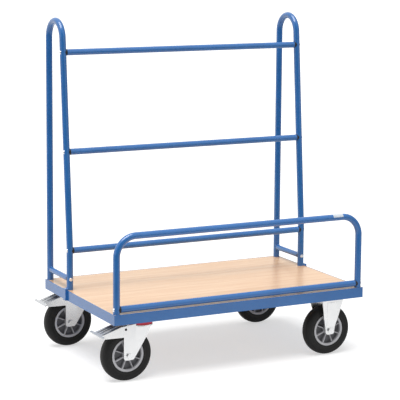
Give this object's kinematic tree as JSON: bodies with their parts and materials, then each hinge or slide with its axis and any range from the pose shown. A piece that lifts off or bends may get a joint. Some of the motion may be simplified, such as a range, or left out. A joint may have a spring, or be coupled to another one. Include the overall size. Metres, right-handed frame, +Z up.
{
  "type": "drywall cart",
  "caption": "Panel trolley with a flat deck, a leaning tube rack along the back, a low front hoop rail, fixed castors at one end and braked swivel castors at the other.",
  "frame": {"origin": "on the floor, below the middle of the trolley's box", "axes": "+Z up, +X along the deck towards the fixed castors, -Y towards the front hoop"},
  "size_m": [1.1322, 0.678, 1.3202],
  "materials": {
    "blue_powder_coat": "satin powder coat",
    "beech_board": "satin beech decor",
    "zinc_plate": "bright zinc plate",
    "black_plastic": "moulded",
    "white_label": "film",
    "steel_balls": "hardened",
    "red_seal": "moulded",
    "rubber_tyre": "solid rubber",
    "grey_plastic": "moulded",
    "bearing_bronze": "sintered"
  },
  "bodies": {
    "chassis": {"front_rail": "blue_powder_coat", "rear_rail": "blue_powder_coat", "left_rail": "blue_powder_coat", "right_rail": "blue_powder_coat", "deck_board": "beech_board", "left_castor_bearer": "blue_powder_coat", "right_castor_bearer": "blue_powder_coat", "centre_bearer": "blue_powder_coat", "deck_screws": "zinc_plate", "left_upright": "blue_powder_coat", "right_upright": "blue_powder_coat", "left_foot_rail": "blue_powder_coat", "right_foot_rail": "blue_powder_coat", "lower_cross_tube": "blue_powder_coat", "middle_cross_tube": "blue_powder_coat", "top_cross_tube": "blue_powder_coat", "front_hoop": "blue_powder_coat", "hoop_lower_tube": "blue_powder_coat", "tube_saddles": "black_plastic", "tube_screws": "zinc_plate", "leg_hooks": "blue_powder_coat", "leg_bolts": "zinc_plate", "blank_label": "white_label", "castor_bolts": "zinc_plate", "castor_nuts": "zinc_plate", "front_left_plate": "zinc_plate", "rear_left_plate": "zinc_plate", "kingpins": "zinc_plate", "swivel_balls": "steel_balls", "dust_seals": "red_seal", "front_right_bracket": "zinc_plate", "rear_right_bracket": "zinc_plate", "fixed_axle_bolts": "zinc_plate", "fixed_axle_sleeves": "zinc_plate"},
    "front_left_swivel": {"front_left_fork": "zinc_plate", "front_left_axle_bolt": "zinc_plate", "front_left_axle_sleeve": "zinc_plate", "front_left_pedal_pins": "zinc_plate"},
    "front_left_brake": {"front_left_pedal": "zinc_plate", "front_left_brake_shoe": "zinc_plate"},
    "front_left_wheel": {"front_left_tyre": "rubber_tyre", "front_left_rim": "grey_plastic", "front_left_bearing": "bearing_bronze"},
    "front_right_wheel": {"front_right_tyre": "rubber_tyre", "front_right_rim": "grey_plastic", "front_right_bearing": "bearing_bronze"},
    "rear_left_swivel": {"rear_left_fork": "zinc_plate", "rear_left_axle_bolt": "zinc_plate", "rear_left_axle_sleeve": "zinc_plate", "rear_left_pedal_pins": "zinc_plate"},
    "rear_left_brake": {"rear_left_pedal": "zinc_plate", "rear_left_brake_shoe": "zinc_plate"},
    "rear_left_wheel": {"rear_left_tyre": "rubber_tyre", "rear_left_rim": "grey_plastic", "rear_left_bearing": "bearing_bronze"},
    "rear_right_wheel": {"rear_right_tyre": "rubber_tyre", "rear_right_rim": "grey_plastic", "rear_right_bearing": "bearing_bronze"}
  },
  "joints": [
    {"name": "front_left_swivel_turn", "type": "hinge", "parent": "chassis", "child": "front_left_swivel", "pos_m": [-0.38391, -0.279, 0.2095], "axis": [0, 0, 1], "continuous": true},
    {"name": "front_left_wheel_spin", "type": "hinge", "parent": "front_left_swivel", "child": "front_left_wheel", "pos_m": [-0.44591, -0.279, 0.1], "axis": [0, 1, 0], "continuous": true},
    {"name": "front_left_brake_press", "type": "hinge", "parent": "front_left_swivel", "child": "front_left_brake", "pos_m": [-0.45991, -0.279, 0.2015], "axis": [0, -1, 0], "range_deg": [0, 12]},
    {"name": "front_right_wheel_spin", "type": "hinge", "parent": "chassis", "child": "front_right_wheel", "pos_m": [0.42409, -0.279, 0.1], "axis": [0, 1, 0], "continuous": true},
    {"name": "rear_left_swivel_turn", "type": "hinge", "parent": "chassis", "child": "rear_left_swivel", "pos_m": [-0.38391, 0.279, 0.2095], "axis": [0, 0, 1], "continuous": true},
    {"name": "rear_left_wheel_spin", "type": "hinge", "parent": "rear_left_swivel", "child": "rear_left_wheel", "pos_m": [-0.44591, 0.279, 0.1], "axis": [0, 1, 0], "continuous": true},
    {"name": "rear_left_brake_press", "type": "hinge", "parent": "rear_left_swivel", "child": "rear_left_brake", "pos_m": [-0.45991, 0.279, 0.2015], "axis": [0, -1, 0], "range_deg": [0, 12]},
    {"name": "rear_right_wheel_spin", "type": "hinge", "parent": "chassis", "child": "rear_right_wheel", "pos_m": [0.42409, 0.279, 0.1], "axis": [0, 1, 0], "continuous": true}
  ]
}
